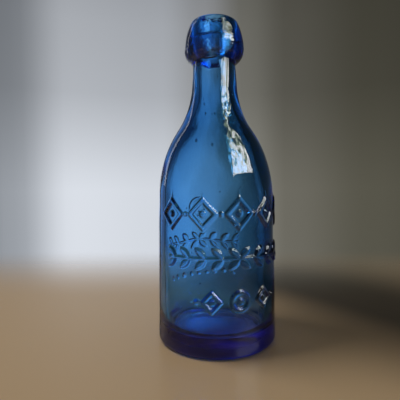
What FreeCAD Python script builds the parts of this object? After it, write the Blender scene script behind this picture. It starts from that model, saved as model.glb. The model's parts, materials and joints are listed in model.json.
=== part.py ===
import FreeCAD
import Part
import Sketcher
import math
import os

# Blob-top soda bottle of mould-blown glass, in millimetres.
# The real bottle is two gathers of glass. The body is blown in a mould, whose cuts leave raised ornament on
# the barrel, and cracked off the blowpipe at its neck. The lip is a second gather, laid round that raw neck
# end, tooled to a blob and left to fuse.
# +Z is up, and the origin is the centre of the foot on the table.

# Driving dimensions: alias, size and what it measures.
SIZES = (
    ("barrel_diameter", 67.0, "across the barrel just above its heel"),
    ("barrel_draft", 1.2, "how much the barrel's radius lessens up to the shoulder"),
    ("barrel_height", 80.6, "table to the start of the shoulder's curve"),
    ("heel_radius", 3.0, "rounding between barrel and foot"),
    ("foot_width", 4.0, "flat ring that the bottle stands on"),
    ("push_up_height", 3.0, "dome pressed up into the foot"),
    ("floor_thickness", 7.0, "glass over the dome"),
    ("inner_heel_radius", 6.0, "rounding between floor and inner wall"),
    ("wall_thickness", 4.5, "glass of the barrel where the shoulder starts"),
    ("shoulder_rise", 37.1, "height of the shoulder's swelling curve"),
    ("neck_sweep", 24.4, "height of the hollow curve into the neck"),
    ("neck_length", 13.4, "hollow curve to the underside of the lip"),
    ("neck_flare", 0.9, "how much the neck's radius grows down to the hollow curve"),
    ("neck_wall", 3.9, "glass of the neck inside the lip"),
    ("bore_diameter", 16.0, "cork bore of neck and lip"),
    ("lip_overhang", 4.9, "how far the blob stands out from the neck"),
    ("lip_belly_height", 6.9, "underside of the lip to its widest ring"),
    ("lip_side_height", 15.6, "widest ring to the top of the lip"),
    ("lip_taper", 3.0, "how much the lip's radius lessens up to its rim"),
    ("lip_rim_radius", 2.6, "outer rounding of the rim"),
    ("mouth_radius", 0.8, "inner rounding of the mouth"),
    ("lip_cap", 10.4, "lip above the raw end of the neck"),
    ("relief_height", 1.0, "how far the ornament stands out from the barrel"),
    ("ornament_turn", 21.0, "degrees from the viewer's side to the ornament's centre"),
    ("lozenge_row", 72.2, "table to the middle of the upper row"),
    ("lozenge_width", 16.0, "across a lozenge of the upper row"),
    ("lozenge_height", 16.6, "up a lozenge of the upper row"),
    ("lozenge_stroke", 2.8, "level width of its raised line"),
    ("lozenge_pitch", 18.8, "from lozenge to lozenge round the barrel"),
    ("garland_row", 50.3, "table to the garland's stem"),
    ("stem_width", 1.1, "up the garland's stem"),
    ("leaf_length", 7.4, "root to tip of a leaf"),
    ("leaf_width", 2.9, "across a leaf's middle"),
    ("leaf_lean", 41.0, "degrees from stem to leaf"),
    ("leaf_pitch", 8.6, "from leaf to leaf along the stem"),
    ("roundel_row", 29.0, "table to the middle of the lower row"),
    ("roundel_diameter", 10.8, "across the front roundel"),
    ("back_roundel_diameter", 14.0, "across the back roundel"),
    ("roundel_stroke", 2.0, "width of a roundel's raised ring"),
    ("side_lozenge_width", 11.0, "across a lozenge of the lower row"),
    ("side_lozenge_height", 11.5, "up a lozenge of the lower row"),
    ("side_lozenge_stroke", 2.2, "level width of its raised line"),
    ("side_lozenge_pitch", 14.5, "from the roundel to a lozenge beside it"),
    ("boss_diameter", 3.0, "across the boss inside a lozenge or roundel"),
)

# Lozenges on each side of the middle one, and pairs of leaves on each half of the front and back garland.
LOZENGES_BESIDE = 2
FRONT_LEAVES = 5
BACK_LEAVES = 4

# Lengths that the pieces share, as formulas of the sheet's cells.
BARREL_RADIUS = "sizes.barrel_diameter / 2"
FOOT_INNER_RADIUS = f"{BARREL_RADIUS} - sizes.heel_radius - sizes.foot_width"
SHOULDER_RADIUS = f"{BARREL_RADIUS} - sizes.barrel_draft"
CAVITY_RADIUS = f"{SHOULDER_RADIUS} - sizes.wall_thickness"
BORE_RADIUS = "sizes.bore_diameter / 2"
NECK_RADIUS = f"{BORE_RADIUS} + sizes.neck_wall"
NECK_ROOT_RADIUS = f"{NECK_RADIUS} + sizes.neck_flare"
BELLY_RADIUS = f"{NECK_RADIUS} + sizes.lip_overhang"
BLOB_RADIUS = "(sizes.lip_belly_height ^ 2 / sizes.lip_overhang + sizes.lip_overhang) / 2"
RIM_FLAT_RADIUS = f"{BELLY_RADIUS} - sizes.lip_taper - sizes.lip_rim_radius"
RIM_RISE = "sizes.lip_side_height - sizes.lip_rim_radius"
SIDE_RADIUS = f"(({RIM_RISE}) ^ 2 / sizes.lip_taper + sizes.lip_taper) / 2 + sizes.lip_rim_radius"
TURN_HEIGHT = "sizes.barrel_height + sizes.shoulder_rise"
INNER_TURN_HEIGHT = f"{TURN_HEIGHT} - sizes.wall_thickness / 2"
NECK_ROOT_HEIGHT = f"{TURN_HEIGHT} + sizes.neck_sweep"
LIP_SEAT_HEIGHT = f"{NECK_ROOT_HEIGHT} + sizes.neck_length"
LIP_HEIGHT = "sizes.lip_belly_height + sizes.lip_side_height"
NECK_IN_LIP = f"{LIP_HEIGHT} - sizes.lip_cap"
NECK_END_HEIGHT = f"{LIP_SEAT_HEIGHT} + {NECK_IN_LIP}"
FLOOR_HEIGHT = "sizes.push_up_height + sizes.floor_thickness"
DOME_RADIUS = f"(({FOOT_INNER_RADIUS}) ^ 2 / sizes.push_up_height + sizes.push_up_height) / 2"
FLOOR_RADIUS = f"{DOME_RADIUS} + sizes.floor_thickness"
ORNAMENT_START = f"{SHOULDER_RADIUS} - sizes.wall_thickness / 2"
ORNAMENT_REACH = f"{BARREL_RADIUS} - ({ORNAMENT_START}) + 2 * sizes.relief_height"
LEAF_RADIUS = "(sizes.leaf_length ^ 2 + sizes.leaf_width ^ 2) / (4 * sizes.leaf_width)"

doc = FreeCAD.newDocument("blob_top_bottle")


def make_sheet():
    """The spreadsheet of driving dimensions, one row each."""
    sheet = doc.addObject("Spreadsheet::Sheet", "sizes")
    for row, (alias, size, meaning) in enumerate(SIZES, start=1):
        sheet.set(f"A{row}", meaning)
        sheet.set(f"B{row}", str(size))
        sheet.setAlias(f"B{row}", alias)
    doc.recompute()
    return sheet


sizes = make_sheet()


def worth(formula):
    """What a formula of the cells comes to, in millimetres."""
    return float(sizes.evalExpression(formula))


def point(radius, height):
    """A point of a half-section: its distance from the bottle's axis and its height."""
    return FreeCAD.Vector(radius, height, 0)


def line(start, end):
    """A straight stretch of a half-section, with the numbers of its first and last point."""
    return Part.LineSegment(start, end), 1, 2


def arc(start, end, centre, left):
    """A round stretch, whose centre lies to the left or to the right of the way it is walked."""
    first, last = [math.atan2(spot.y - centre.y, spot.x - centre.x) for spot in (start, end)]
    circle = Part.Circle(centre, FreeCAD.Vector(0, 0, 1), start.distanceToPoint(centre))
    if left:
        return Part.ArcOfCircle(circle, first, last), 1, 2
    return Part.ArcOfCircle(circle, last, first), 2, 1


def ogee(low, turn_height, high):
    """A swelling and a hollow arc between two upright stretches, the upper one nearer to the axis.

    Both arcs turn by the same angle, whose half has the tangent inset over rise. Where a stretch leans a
    little, this is the start from which the sketch's own tangencies are solved.
    """
    turn = 2 * math.atan2(low.x - high.x, high.y - low.y)
    swell = (turn_height - low.y) / math.sin(turn)
    hollow = (high.y - turn_height) / math.sin(turn)
    swell_centre = low - point(swell, 0)
    hollow_centre = high + point(hollow, 0)
    middle = swell_centre + point(swell * math.cos(turn), swell * math.sin(turn))
    return arc(low, middle, swell_centre, True), arc(middle, high, hollow_centre, False)


class HalfSection:
    """A closed outline beside the bottle's axis, drawn in the upright plane of a body."""

    def __init__(self, body, name, stretches=None, smooth=(), turn=0):
        self.sketch = body.newObject("Sketcher::SketchObject", name)
        plane = next(datum for datum in body.Origin.OriginFeatures if datum.Role == "XZ_Plane")
        self.sketch.AttachmentSupport = [(plane, "")]
        self.sketch.MapMode = "FlatFace"
        turned = FreeCAD.Rotation(FreeCAD.Vector(0, 1, 0), turn)
        self.sketch.AttachmentOffset = FreeCAD.Placement(FreeCAD.Vector(), turned)
        self.ends = {}
        if stretches:
            self.draw(stretches, smooth)

    def draw(self, stretches, smooth=()):
        """Draw the stretches end to end, with the named ones leaving the one before them smoothly."""
        for title, (geometry, first, last) in stretches.items():
            index = self.sketch.addGeometry(geometry, False)
            self.ends[title] = (index, first, last)
        titles = list(stretches)
        for before, after in zip(titles[-1:] + titles[:-1], titles):
            kind = "Tangent" if after in smooth else "Coincident"
            self.add(kind, *self.end(before), *self.start(after))

    def start(self, title):
        return self.ends[title][0], self.ends[title][1]

    def end(self, title):
        return self.ends[title][0], self.ends[title][2]

    def centre(self, title):
        """An arc's centre, which a sketch counts as its point 3."""
        return self.ends[title][0], 3

    def origin(self):
        """The sketch's origin, which is point 1 of its level axis -1."""
        return -1, 1

    def add(self, kind, *places):
        return self.sketch.addConstraint(Sketcher.Constraint(kind, *places))

    def hold_on_axis(self, *places):
        """Keep points on the bottle's axis, which is the sketch's upright axis -2."""
        for place in places:
            self.add("PointOnObject", *place, -2)

    def hold_at_foot(self, place):
        """Keep a point at height zero, on the sketch's level axis -1."""
        self.add("PointOnObject", *place, -1)

    def direct(self, kind, *titles):
        """Make straight stretches level or upright."""
        for title in titles:
            self.add(kind, self.ends[title][0])

    def bind(self, name, formula, kind, *places):
        """Add a dimension and tie it to the sheet's cells."""
        index = self.add(kind, *places, worth(formula))
        self.sketch.renameConstraint(index, name)
        self.sketch.setExpression(f"Constraints.{name}", formula)

    def bind_radius(self, name, formula, title):
        self.bind(name, formula, "Radius", self.ends[title][0])

    def bind_place(self, name, place, radius=None, height=None):
        """Tie a point's distance from the axis, its height or both."""
        if radius:
            self.bind(f"{name}_radius", radius, "DistanceX", *self.origin(), *place)
        if height:
            self.bind(f"{name}_height", height, "DistanceY", *self.origin(), *place)

    def turn_into(self, body, kind, name):
        """Revolve the section round the axis, to add glass or to take it away."""
        feature = body.newObject(kind, name)
        feature.Profile = self.sketch
        feature.ReferenceAxis = (self.sketch, ["V_Axis"])
        feature.Angle = 360
        doc.recompute()
        if not self.sketch.FullyConstrained:
            raise RuntimeError(f"{self.sketch.Name} is not fully constrained")
        return feature


class Motif(HalfSection):
    """Outlines of raised ornament, drawn on an upright plane inside the wall and turned round the axis."""

    def __init__(self, body, name, turn="0"):
        super().__init__(body, name, turn=worth(turn))
        self.sketch.setExpression("AttachmentOffset.Rotation.Angle", turn)
        self.sketch.setExpression("AttachmentOffset.Base.x", f"({ORNAMENT_START}) * sin({turn})")
        self.sketch.setExpression("AttachmentOffset.Base.z", f"({ORNAMENT_START}) * cos({turn})")
        doc.recompute()

    def draw_lozenge(self, name, middle, width, height):
        """Four lines between corners on the sketch's upright axis and beside it."""
        top = point(0, worth(f"{middle} + ({height}) / 2"))
        low = point(0, worth(f"{middle} - ({height}) / 2"))
        side = point(worth(f"({width}) / 2"), worth(middle))
        other = point(-side.x, side.y)
        corners = (side, top, other, low, side)
        titles = [f"{name}_{number}" for number in range(4)]
        self.draw({title: line(*corners[number:number + 2]) for number, title in enumerate(titles)})
        self.hold_on_axis(self.start(titles[1]), self.start(titles[3]))
        self.add("Symmetric", *self.start(titles[0]), *self.start(titles[2]), -2)
        self.bind_place(f"{name}_side", self.start(titles[0]), f"({width}) / 2", middle)
        self.bind_place(f"{name}_top", self.start(titles[1]), height=f"{middle} + ({height}) / 2")
        self.bind_place(f"{name}_low", self.start(titles[3]), height=f"{middle} - ({height}) / 2")

    def draw_circle(self, name, middle, radius):
        """A circle round a point on the sketch's upright axis."""
        circle = Part.Circle(point(0, worth(middle)), FreeCAD.Vector(0, 0, 1), worth(radius))
        self.ends[name] = (self.sketch.addGeometry(circle, False), 3, 3)
        self.hold_on_axis(self.centre(name))
        self.bind_radius(f"{name}_radius", radius, name)
        self.bind_place(name, self.centre(name), height=middle)

    def draw_leaf(self, name, side, rise):
        """Two arcs from a root beside the stem to a tip that leans to one side, above or below."""
        root_height = f"sizes.garland_row + {rise} * sizes.stem_width / 4"
        tip_height = f"{root_height} + {rise} * sizes.leaf_length * sin(sizes.leaf_lean)"
        reach = "sizes.leaf_length * cos(sizes.leaf_lean)"
        root = point(0, worth(root_height))
        tip = point(side * worth(reach), worth(tip_height))
        along = (tip - root).normalize()
        across = point(-along.y, along.x) * (worth(LEAF_RADIUS) - worth("sizes.leaf_width") / 2)
        middle = (root + tip) / 2
        out, back = f"{name}_out", f"{name}_back"
        self.draw({out: arc(root, tip, middle + across, True), back: arc(tip, root, middle - across, True)})
        self.hold_on_axis(self.start(out))
        self.bind_radius(f"{out}_curve", LEAF_RADIUS, out)
        self.bind_radius(f"{back}_curve", LEAF_RADIUS, back)
        self.bind_place(f"{name}_root", self.start(out), height=root_height)
        places = (self.origin(), self.start(back)) if side > 0 else (self.start(back), self.origin())
        self.bind(f"{name}_reach", reach, "DistanceX", *places[0], *places[1])
        self.bind_place(f"{name}_tip", self.start(back), height=tip_height)

    def raise_from(self, body, name):
        """Push the outlines out through the wall."""
        pad = body.newObject("PartDesign::Pad", name)
        pad.Profile = self.sketch
        pad.setExpression("Length", ORNAMENT_REACH)
        doc.recompute()
        if not self.sketch.FullyConstrained:
            raise RuntimeError(f"{self.sketch.Name} is not fully constrained")
        return pad


def round_the_barrel(length):
    """The angle, in degrees, that a length covers on the barrel."""
    return f"({length}) / ({BARREL_RADIUS}) * 180 / pi"


def repeat(body, pad, pitch, count, onward):
    """Copies of a pad round the axis, a pitch apart, to the right or to the left."""
    pattern = body.newObject("PartDesign::PolarPattern", f"{pad.Name}_row")
    pattern.Originals = [pad]
    pattern.BaseFeature = body.Tip
    axis = next(datum for datum in body.Origin.OriginFeatures if datum.Role == "Z_Axis")
    pattern.Axis = (axis, [""])
    pattern.Reversed = not onward
    pattern.Occurrences = count
    pattern.setExpression("Angle", f"{count - 1} * {round_the_barrel(pitch)}")
    body.Tip = pattern
    doc.recompute()
    return pattern


def draw_outside(body):
    """The mould's shape as a full solid: foot, heel, barrel, shoulder, neck and the seat of the lip."""
    heel = worth("sizes.heel_radius")
    foot_edge = point(worth(BARREL_RADIUS) - heel, 0)
    heel_top = point(worth(BARREL_RADIUS), heel)
    shoulder = point(worth(SHOULDER_RADIUS), worth("sizes.barrel_height"))
    neck_root = point(worth(NECK_ROOT_RADIUS), worth(NECK_ROOT_HEIGHT))
    seat = point(worth(NECK_RADIUS), worth(LIP_SEAT_HEIGHT))
    raw_end = point(worth(NECK_RADIUS), worth(NECK_END_HEIGHT))
    swell, hollow = ogee(shoulder, worth(TURN_HEIGHT), neck_root)
    section = HalfSection(body, "outside_section", {
        "foot": line(point(0, 0), foot_edge),
        "heel": arc(foot_edge, heel_top, foot_edge + point(0, heel), True),
        "barrel": line(heel_top, shoulder),
        "swell": swell,
        "hollow": hollow,
        "neck": line(neck_root, seat),
        "seat": line(seat, raw_end),
        "raw_end": line(raw_end, point(0, raw_end.y)),
        "axis": line(point(0, raw_end.y), point(0, 0)),
    }, smooth=("heel", "barrel", "swell", "hollow", "neck"))
    section.add("Coincident", *section.start("foot"), *section.origin())
    section.direct("Horizontal", "foot", "raw_end")
    section.direct("Vertical", "seat", "axis")
    section.bind_radius("heel_rounding", "sizes.heel_radius", "heel")
    section.bind_place("barrel_foot", section.start("barrel"), radius=BARREL_RADIUS)
    section.bind_place("shoulder", section.end("barrel"), SHOULDER_RADIUS, "sizes.barrel_height")
    section.bind_place("turn", section.end("swell"), height=TURN_HEIGHT)
    section.bind_place("neck_root", section.start("neck"), NECK_ROOT_RADIUS, NECK_ROOT_HEIGHT)
    section.bind_place("seat", section.start("seat"), NECK_RADIUS, LIP_SEAT_HEIGHT)
    section.bind_place("raw_end", section.end("seat"), height=NECK_END_HEIGHT)
    return section.turn_into(body, "PartDesign::Revolution", "outside")


def draw_cavity(body):
    """The blown hollow: domed floor, wall, inner shoulder and the bore that the cork closes."""
    dome = worth(FLOOR_RADIUS)
    rounding = worth("sizes.inner_heel_radius")
    floor_top = point(0, worth(FLOOR_HEIGHT))
    floor_centre = floor_top - point(0, dome)
    rounding_radius = worth(CAVITY_RADIUS) - rounding
    rounding_height = math.sqrt((dome + rounding) ** 2 - rounding_radius ** 2)
    rounding_centre = floor_centre + point(rounding_radius, rounding_height)
    floor_edge = floor_centre + (rounding_centre - floor_centre) * (dome / (dome + rounding))
    wall_foot = rounding_centre + point(rounding, 0)
    shoulder = point(worth(CAVITY_RADIUS), worth("sizes.barrel_height"))
    bore_foot = point(worth(BORE_RADIUS), worth(NECK_ROOT_HEIGHT))
    bore_end = point(worth(BORE_RADIUS), worth(NECK_END_HEIGHT))
    swell, hollow = ogee(shoulder, worth(INNER_TURN_HEIGHT), bore_foot)
    section = HalfSection(body, "cavity_section", {
        "floor": arc(floor_top, floor_edge, floor_centre, False),
        "inner_heel": arc(floor_edge, wall_foot, rounding_centre, True),
        "wall": line(wall_foot, shoulder),
        "swell": swell,
        "hollow": hollow,
        "bore": line(bore_foot, bore_end),
        "mouth": line(bore_end, point(0, bore_end.y)),
        "axis": line(point(0, bore_end.y), floor_top),
    }, smooth=("inner_heel", "wall", "swell", "hollow", "bore"))
    section.direct("Horizontal", "mouth")
    section.direct("Vertical", "wall", "bore")
    section.hold_on_axis(section.start("axis"), section.end("axis"), section.centre("floor"))
    section.bind_radius("floor_dome", FLOOR_RADIUS, "floor")
    section.bind_radius("inner_heel_rounding", "sizes.inner_heel_radius", "inner_heel")
    section.bind_place("floor", section.start("floor"), height=FLOOR_HEIGHT)
    section.bind_place("inner_shoulder", section.end("wall"), CAVITY_RADIUS, "sizes.barrel_height")
    section.bind_place("inner_turn", section.end("swell"), height=INNER_TURN_HEIGHT)
    section.bind_place("bore_foot", section.start("bore"), BORE_RADIUS, NECK_ROOT_HEIGHT)
    section.bind_place("bore_end", section.end("bore"), height=NECK_END_HEIGHT)
    return section.turn_into(body, "PartDesign::Groove", "cavity")


def draw_push_up(body):
    """The shallow dome pressed into the foot, which leaves a flat ring to stand on."""
    ring = point(worth(FOOT_INNER_RADIUS), 0)
    top = point(0, worth("sizes.push_up_height"))
    section = HalfSection(body, "push_up_section", {
        "mouth": line(point(0, 0), ring),
        "dome": arc(ring, top, top - point(0, worth(DOME_RADIUS)), True),
        "axis": line(top, point(0, 0)),
    }, smooth=())
    section.add("Coincident", *section.start("mouth"), *section.origin())
    section.direct("Horizontal", "mouth")
    section.direct("Vertical", "axis")
    section.hold_on_axis(section.centre("dome"))
    section.bind_place("ring", section.end("mouth"), radius=FOOT_INNER_RADIUS)
    section.bind_place("top", section.start("axis"), height="sizes.push_up_height")
    return section.turn_into(body, "PartDesign::Groove", "push_up")


def raise_stem(body, name, turn, leaves):
    """The stem of a garland: a narrow band round the barrel that ends with the tips of the last leaves."""
    outer_radius = f"{ORNAMENT_START} + {ORNAMENT_REACH}"
    low_height = "sizes.garland_row - sizes.stem_width / 2"
    high_height = "sizes.garland_row + sizes.stem_width / 2"
    inner, outer = worth(ORNAMENT_START), worth(outer_radius)
    low, high = worth(low_height), worth(high_height)
    section = HalfSection(body, f"{name}_section", {
        "under": line(point(inner, low), point(outer, low)),
        "front": line(point(outer, low), point(outer, high)),
        "over": line(point(outer, high), point(inner, high)),
        "back": line(point(inner, high), point(inner, low)),
    }, turn=turn)
    section.direct("Horizontal", "under", "over")
    section.direct("Vertical", "front", "back")
    section.bind_place("under", section.start("under"), ORNAMENT_START, low_height)
    section.bind_place("over", section.start("over"), outer_radius, high_height)
    band = section.turn_into(body, "PartDesign::Revolution", name)
    reach = f"{leaves - 1} * sizes.leaf_pitch + sizes.leaf_length * cos(sizes.leaf_lean)"
    band.Midplane = True
    band.setExpression("Angle", round_the_barrel(f"2 * ({reach})"))
    return band


def raise_garland(body, name, turn, leaves):
    """A stem with pairs of leaves that point away from the garland's middle on both sides."""
    raise_stem(body, f"{name}_stem", turn - 90, leaves)
    for side, half in ((1, "right"), (-1, "left")):
        pair = Motif(body, f"{name}_{half}_outline", str(turn))
        pair.draw_leaf("upper", side, 1)
        pair.draw_leaf("lower", side, -1)
        repeat(body, pair.raise_from(body, f"{name}_{half}"), "sizes.leaf_pitch", leaves, side > 0)


def raise_lozenge(body, name, turn, row, size):
    """A lozenge of raised lines round a boss."""
    width, height, stroke = [f"sizes.{size}_{part}" for part in ("width", "height", "stroke")]
    inner_width = f"{width} - 2 * {stroke}"
    outline = Motif(body, f"{name}_outline", turn)
    outline.draw_lozenge("outer", row, width, height)
    outline.draw_lozenge("inner", row, inner_width, f"{height} * ({inner_width}) / {width}")
    outline.draw_circle("boss", row, "sizes.boss_diameter / 2")
    return outline.raise_from(body, name)


def raise_roundel(body, name, turn, row, diameter):
    """A raised ring round a boss."""
    outline = Motif(body, f"{name}_outline", turn)
    outline.draw_circle("outer", row, f"{diameter} / 2")
    outline.draw_circle("inner", row, f"{diameter} / 2 - sizes.roundel_stroke")
    outline.draw_circle("boss", row, "sizes.boss_diameter / 2")
    return outline.raise_from(body, name)


def make_motifs():
    """Prisms of all the ornament's motifs, from inside the wall outwards, on both sides of its middle."""
    body = doc.addObject("PartDesign::Body", "ornament_motifs")
    body.AllowCompound = True
    lozenge = raise_lozenge(body, "lozenge", "0", "sizes.lozenge_row", "lozenge")
    repeat(body, lozenge, "sizes.lozenge_pitch", LOZENGES_BESIDE + 1, True)
    repeat(body, lozenge, "sizes.lozenge_pitch", LOZENGES_BESIDE + 1, False)
    raise_garland(body, "front_garland", 0, FRONT_LEAVES)
    raise_roundel(body, "roundel", "0", "sizes.roundel_row", "sizes.roundel_diameter")
    beside = round_the_barrel("sizes.side_lozenge_pitch")
    raise_lozenge(body, "right_lozenge", beside, "sizes.roundel_row", "side_lozenge")
    raise_lozenge(body, "left_lozenge", f"-{beside}", "sizes.roundel_row", "side_lozenge")
    raise_garland(body, "back_garland", 180, BACK_LEAVES)
    raise_roundel(body, "back_roundel", "180", "sizes.lozenge_row", "sizes.back_roundel_diameter")
    body.setExpression("Placement.Rotation.Angle", "sizes.ornament_turn")
    return body


def make_ornament():
    """The ornament: its motifs, kept where they lie in a skin that stands a little proud of the barrel."""
    body = doc.addObject("PartDesign::Body", "ornament")
    body.AllowCompound = True
    foot_radius = f"{BARREL_RADIUS} + sizes.relief_height"
    top_radius = f"{SHOULDER_RADIUS} + sizes.relief_height"
    foot = point(worth(foot_radius), worth("sizes.heel_radius"))
    top = point(worth(top_radius), worth("sizes.barrel_height"))
    inner = worth(ORNAMENT_START)
    section = HalfSection(body, "skin_section", {
        "under": line(point(inner, foot.y), foot),
        "outside": line(foot, top),
        "over": line(top, point(inner, top.y)),
        "inside": line(point(inner, top.y), point(inner, foot.y)),
    })
    section.direct("Horizontal", "under", "over")
    section.direct("Vertical", "inside")
    section.bind_place("inner", section.start("under"), radius=ORNAMENT_START)
    section.bind_place("foot", section.start("outside"), foot_radius, "sizes.heel_radius")
    section.bind_place("top", section.end("outside"), top_radius, "sizes.barrel_height")
    section.turn_into(body, "PartDesign::Revolution", "skin")
    common = body.newObject("PartDesign::Boolean", "ornament_in_skin")
    common.Type = "Common"
    common.setObjects([make_motifs()])
    doc.recompute()
    return body


def raise_ornament(body):
    """Fuse the ornament to the barrel, as the mould's cuts leave it."""
    raised = body.newObject("PartDesign::Boolean", "raised_ornament")
    raised.Type = "Fuse"
    raised.setObjects([make_ornament()])
    doc.recompute()
    return raised


def make_bottle_body():
    """The blown body, from its foot to the raw neck end that the lip covers."""
    body = doc.addObject("PartDesign::Body", "bottle_body")
    body.Label = "bottle_body"
    plain = draw_outside(body).Shape.Volume
    full = raise_ornament(body).Shape.Volume
    hollow = draw_cavity(body).Shape.Volume
    footed = draw_push_up(body).Shape.Volume
    if not footed < hollow < full:
        raise RuntimeError("the cavity or the push-up took no glass away")
    if not plain < full:
        raise RuntimeError("the ornament added no glass")
    print(f"brimful of the body {(full - hollow) / 1000:.0f} ml, its glass {footed / 1000:.1f} ml,",
          f"of which the raised ornament {(full - plain) / 1000:.2f} ml")
    return body


def make_applied_lip():
    """The lip, in its own frame above its lower edge, set over the raw neck end."""
    body = doc.addObject("PartDesign::Body", "applied_lip")
    body.Label = "applied_lip"
    rim = worth("sizes.lip_rim_radius")
    mouth = worth("sizes.mouth_radius")
    blob = worth(BLOB_RADIUS)
    edge = point(worth(NECK_RADIUS), 0)
    belly = point(worth(BELLY_RADIUS), worth("sizes.lip_belly_height"))
    rim_flat = point(worth(RIM_FLAT_RADIUS), worth(LIP_HEIGHT))
    rim_centre = rim_flat - point(0, rim)
    side_centre = belly - point(worth(SIDE_RADIUS), 0)
    outward = (rim_centre - side_centre).normalize()
    side_end = rim_centre + outward * rim
    mouth_flat = point(worth(BORE_RADIUS) + mouth, rim_flat.y)
    bore_top = point(worth(BORE_RADIUS), rim_flat.y - mouth)
    ledge = point(worth(BORE_RADIUS), worth(NECK_IN_LIP))
    socket_top = point(worth(NECK_RADIUS), worth(NECK_IN_LIP))
    section = HalfSection(body, "lip_section", {
        "blob": arc(edge, belly, belly - point(blob, 0), True),
        "side": arc(belly, side_end, side_centre, True),
        "rim": arc(side_end, rim_flat, rim_centre, True),
        "top": line(rim_flat, mouth_flat),
        "mouth": arc(mouth_flat, bore_top, mouth_flat - point(0, mouth), True),
        "bore": line(bore_top, ledge),
        "ledge": line(ledge, socket_top),
        "socket": line(socket_top, edge),
    }, smooth=("side", "rim", "top", "mouth", "bore"))
    section.direct("Horizontal", "top", "ledge")
    section.direct("Vertical", "bore", "socket")
    section.hold_at_foot(section.end("socket"))
    section.bind_radius("rim_rounding", "sizes.lip_rim_radius", "rim")
    section.bind_radius("mouth_rounding", "sizes.mouth_radius", "mouth")
    section.bind_place("belly", section.end("blob"), BELLY_RADIUS, "sizes.lip_belly_height")
    section.bind_place("blob_centre", section.centre("blob"), height="sizes.lip_belly_height")
    section.bind_place("rim_flat", section.start("top"), RIM_FLAT_RADIUS, LIP_HEIGHT)
    section.bind_place("ledge", section.start("ledge"), BORE_RADIUS, NECK_IN_LIP)
    section.bind_place("socket", section.start("socket"), radius=NECK_RADIUS)
    section.turn_into(body, "PartDesign::Revolution", "blob")
    body.setExpression("Placement.Base.z", LIP_SEAT_HEIGHT)
    return body


pieces = [make_bottle_body(), make_applied_lip()]
doc.recompute()

for thing in doc.Objects:
    if "Invalid" in thing.State or "Error" in thing.State:
        raise RuntimeError(f"{thing.Name} failed: {thing.State}")
for piece in pieces:
    if piece.Shape.isNull() or not piece.Shape.isValid():
        raise RuntimeError(f"{piece.Label} has no valid shape")

os.makedirs("parts", exist_ok=True)
for piece in pieces:
    piece.Shape.exportStep(f"parts/{piece.Label}.step")
    box = piece.Shape.optimalBoundingBox()
    print(f"{piece.Label}: {box.XLength:.2f} mm across, from {box.ZMin:.2f} to {box.ZMax:.2f} mm,",
          f"{len(piece.Shape.Solids)} solid, {piece.Shape.Volume / 1000:.1f} ml of glass")
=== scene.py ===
# %% [markdown]
# This lesson dresses a blob-top soda bottle of cobalt-blue glass. The real bottle is two gathers of glass.
# The body was blown into a two-part mould, and the lip was laid round its raw neck end and tooled to a blob.
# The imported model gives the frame: both pieces at their real size, with the foot's centre at the origin.

# %% Load the frame
import bpy
import json
import math
import numpy as np
from mathutils import Matrix, Vector


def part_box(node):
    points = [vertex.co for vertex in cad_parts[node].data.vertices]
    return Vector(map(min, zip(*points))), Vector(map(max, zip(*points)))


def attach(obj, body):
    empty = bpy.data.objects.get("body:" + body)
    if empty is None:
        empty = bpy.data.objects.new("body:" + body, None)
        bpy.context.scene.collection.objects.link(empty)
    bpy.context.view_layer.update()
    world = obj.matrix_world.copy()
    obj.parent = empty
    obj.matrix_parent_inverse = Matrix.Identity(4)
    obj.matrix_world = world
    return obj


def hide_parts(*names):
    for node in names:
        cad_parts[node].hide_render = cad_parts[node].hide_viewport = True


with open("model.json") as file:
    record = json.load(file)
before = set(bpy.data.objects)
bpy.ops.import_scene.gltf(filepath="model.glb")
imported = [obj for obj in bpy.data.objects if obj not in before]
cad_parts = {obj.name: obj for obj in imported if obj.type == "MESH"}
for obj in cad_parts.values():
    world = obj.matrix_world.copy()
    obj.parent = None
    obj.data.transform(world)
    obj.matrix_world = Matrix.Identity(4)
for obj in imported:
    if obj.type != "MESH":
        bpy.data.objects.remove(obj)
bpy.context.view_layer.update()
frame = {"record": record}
MM = 0.001

# %% [markdown]
# The bottle is a body of revolution before the glass sags and the mould leaves its marks, so its shape is one
# half-section. The outer sizes come from the frame. The others repeat the model's own driving sizes.

# %% Sizes of the half-section, in millimetres
_, body_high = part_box("bottle_body")
lip_low, lip_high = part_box("applied_lip")
cork_bore = next(mount for mount in frame["record"]["mounts"] if mount["name"] == "mouth_bore")

BELLY_RADIUS = (lip_high.x - lip_low.x) / 2 / MM
BORE_RADIUS = cork_bore["dims"]["r_mm"]
NECK_END = body_high.z / MM
LIP_EDGE = lip_low.z / MM
LIP_TOP = lip_high.z / MM

BARREL_RADIUS = 33.5
BARREL_DRAFT = 1.2
BARREL_TOP = 80.6
HEEL_ROUNDING = 3.0
FOOT_WIDTH = 4.0
FOOT_EDGE_ROUNDING = 1.0
PUSH_UP = 3.0
FLOOR_GLASS = 7.0
INNER_HEEL_ROUNDING = 6.0
WALL = 4.5
TURN_HEIGHT = 117.7
NECK_ROOT = 142.1
NECK_FLARE = 0.9
NECK_WALL = 3.9
NECK_END_ROUNDING = 0.4
LIP_BELLY = 6.9
LIP_TAPER = 3.0
LIP_RIM_ROUNDING = 2.6
MOUTH_ROUNDING = 0.8

SHOULDER_RADIUS = BARREL_RADIUS - BARREL_DRAFT
CAVITY_RADIUS = SHOULDER_RADIUS - WALL
NECK_RADIUS = BORE_RADIUS + NECK_WALL
NECK_ROOT_RADIUS = NECK_RADIUS + NECK_FLARE
FOOT_INNER_RADIUS = BARREL_RADIUS - HEEL_ROUNDING - FOOT_WIDTH
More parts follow.
